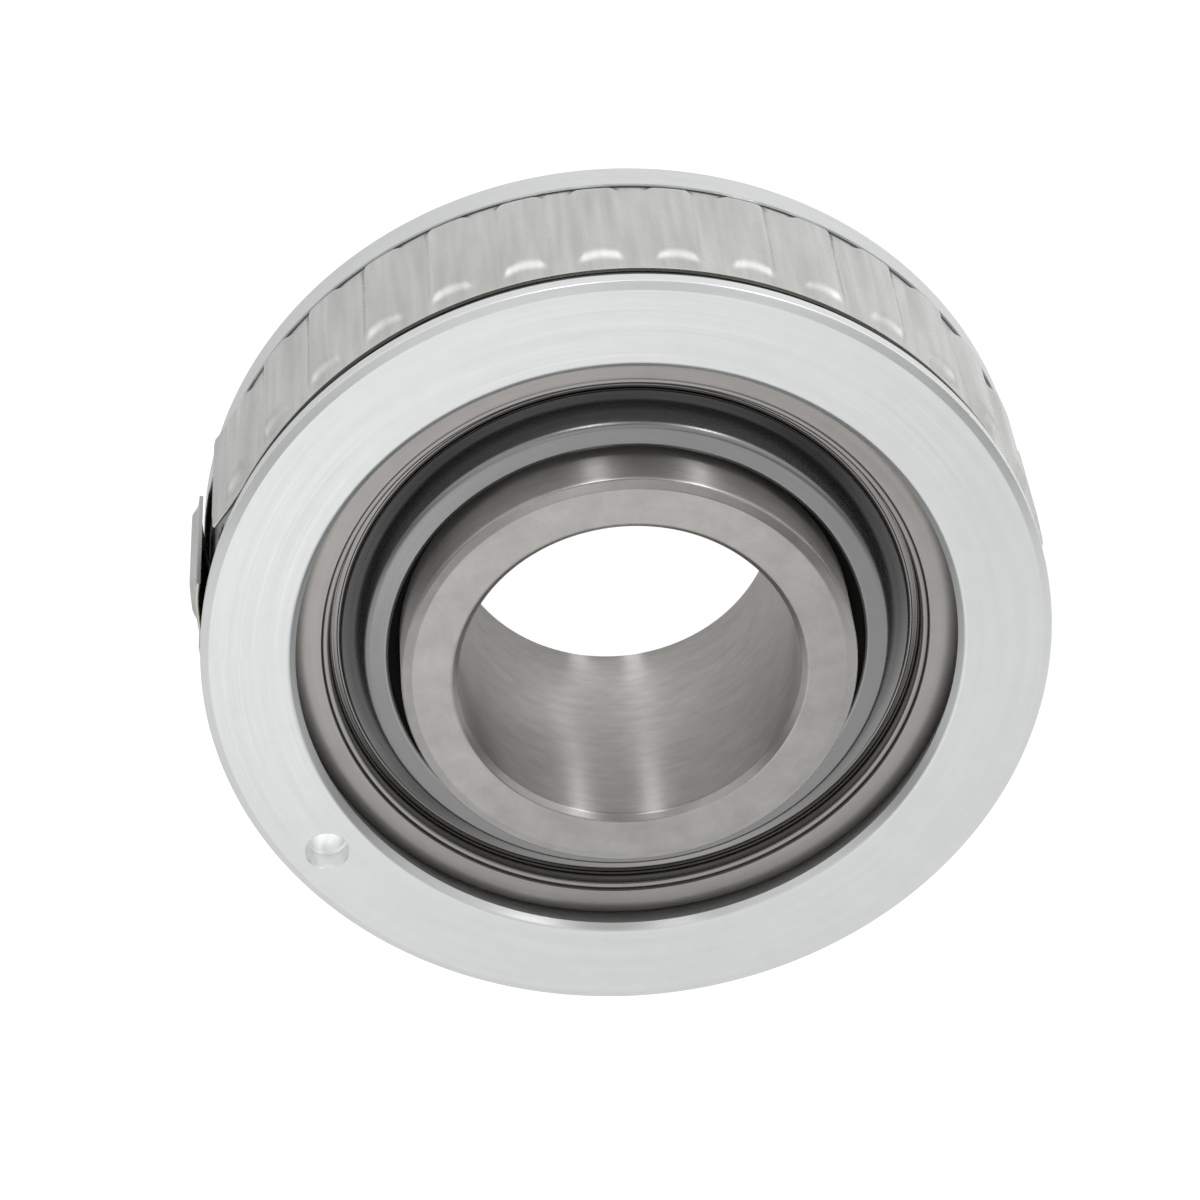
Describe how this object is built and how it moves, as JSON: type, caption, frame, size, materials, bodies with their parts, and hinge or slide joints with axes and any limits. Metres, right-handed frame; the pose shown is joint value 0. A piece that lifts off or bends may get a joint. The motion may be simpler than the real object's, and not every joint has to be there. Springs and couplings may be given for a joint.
{
  "type": "self-aligning shaft bearing",
  "caption": "Sealed ball bearing with a spherical outer race in a turned aluminium carrier, gripped by a split corrugated tolerance ring.",
  "frame": {"origin": "centre of the shaft bore, on the middle plane of the inner ring, the outer race and the carrier", "axes": "+Z along the bore axis towards the front face with the index dimple; the grease passage lies near -X, and the race tilts about X"},
  "size_m": [0.0878, 0.0878, 0.0314],
  "materials": {
    "carrier": "satin turned",
    "tolerance_ring": "cold-rolled stainless strip",
    "outer_race": "ground bearing steel",
    "inner_ring": "ground bearing steel",
    "ball": "lapped bearing steel",
    "cage": "pressed steel sheet",
    "rivet": "headed steel wire",
    "seal_case": "bright pressed steel sheet",
    "seal_lip": "moulded nitrile rubber"
  },
  "bodies": {
    "carrier": {"carrier": "carrier"},
    "tolerance_ring": {"tolerance_ring": "tolerance_ring"},
    "outer_race": {"outer_race": "outer_race", "seal_case_front": "seal_case", "seal_lip_front": "seal_lip", "seal_case_rear": "seal_case", "seal_lip_rear": "seal_lip"},
    "inner_ring": {"inner_ring": "inner_ring"},
    "cage": {"cage_front": "cage", "cage_rear": "cage", "cage_rivets": "rivet"},
    "ball_1": {"ball_1": "ball"},
    "ball_2": {"ball_2": "ball"},
    "ball_3": {"ball_3": "ball"},
    "ball_4": {"ball_4": "ball"},
    "ball_5": {"ball_5": "ball"},
    "ball_6": {"ball_6": "ball"},
    "ball_7": {"ball_7": "ball"},
    "ball_8": {"ball_8": "ball"},
    "ball_9": {"ball_9": "ball"}
  },
  "joints": [
    {"name": "ring_turn", "type": "hinge", "parent": "carrier", "child": "tolerance_ring", "pos_m": [0, 0, 0], "axis": [0, 0, 1], "continuous": true},
    {"name": "race_tilt", "type": "hinge", "parent": "carrier", "child": "outer_race", "pos_m": [0, 0, 0], "axis": [1, 0, 0], "range_deg": [-8, 8]},
    {"name": "shaft_spin", "type": "hinge", "parent": "outer_race", "child": "inner_ring", "pos_m": [0, 0, 0], "axis": [0, 0, 1], "continuous": true},
    {"name": "cage_spin", "type": "hinge", "parent": "outer_race", "child": "cage", "pos_m": [0, 0, 0], "axis": [0, 0, 1], "continuous": true},
    {"name": "ball_1_spin", "type": "hinge", "parent": "cage", "child": "ball_1", "pos_m": [0.02049, 0.01719, 0], "axis": [0, 0, 1], "continuous": true},
    {"name": "ball_2_spin", "type": "hinge", "parent": "cage", "child": "ball_2", "pos_m": [0.00464, 0.02634, 0], "axis": [0, 0, 1], "continuous": true},
    {"name": "ball_3_spin", "type": "hinge", "parent": "cage", "child": "ball_3", "pos_m": [-0.01337, 0.02317, 0], "axis": [0, 0, 1], "continuous": true},
    {"name": "ball_4_spin", "type": "hinge", "parent": "cage", "child": "ball_4", "pos_m": [-0.02514, 0.00915, 0], "axis": [0, 0, 1], "continuous": true},
    {"name": "ball_5_spin", "type": "hinge", "parent": "cage", "child": "ball_5", "pos_m": [-0.02514, -0.00915, 0], "axis": [0, 0, 1], "continuous": true},
    {"name": "ball_6_spin", "type": "hinge", "parent": "cage", "child": "ball_6", "pos_m": [-0.01337, -0.02317, 0], "axis": [0, 0, 1], "continuous": true},
    {"name": "ball_7_spin", "type": "hinge", "parent": "cage", "child": "ball_7", "pos_m": [0.00464, -0.02634, 0], "axis": [0, 0, 1], "continuous": true},
    {"name": "ball_8_spin", "type": "hinge", "parent": "cage", "child": "ball_8", "pos_m": [0.02049, -0.01719, 0], "axis": [0, 0, 1], "continuous": true},
    {"name": "ball_9_spin", "type": "hinge", "parent": "cage", "child": "ball_9", "pos_m": [0.02675, 0, 0], "axis": [0, 0, 1], "continuous": true}
  ],
  "couplings": [
    {"joint": "cage_spin", "follows": "shaft_spin", "ratio": 0.39615},
    {"joint": "ball_1_spin", "follows": "shaft_spin", "ratio": -2.3033},
    {"joint": "ball_2_spin", "follows": "shaft_spin", "ratio": -2.3033},
    {"joint": "ball_3_spin", "follows": "shaft_spin", "ratio": -2.3033},
    {"joint": "ball_4_spin", "follows": "shaft_spin", "ratio": -2.3033},
    {"joint": "ball_5_spin", "follows": "shaft_spin", "ratio": -2.3033},
    {"joint": "ball_6_spin", "follows": "shaft_spin", "ratio": -2.3033},
    {"joint": "ball_7_spin", "follows": "shaft_spin", "ratio": -2.3033},
    {"joint": "ball_8_spin", "follows": "shaft_spin", "ratio": -2.3033},
    {"joint": "ball_9_spin", "follows": "shaft_spin", "ratio": -2.3033}
  ]
}
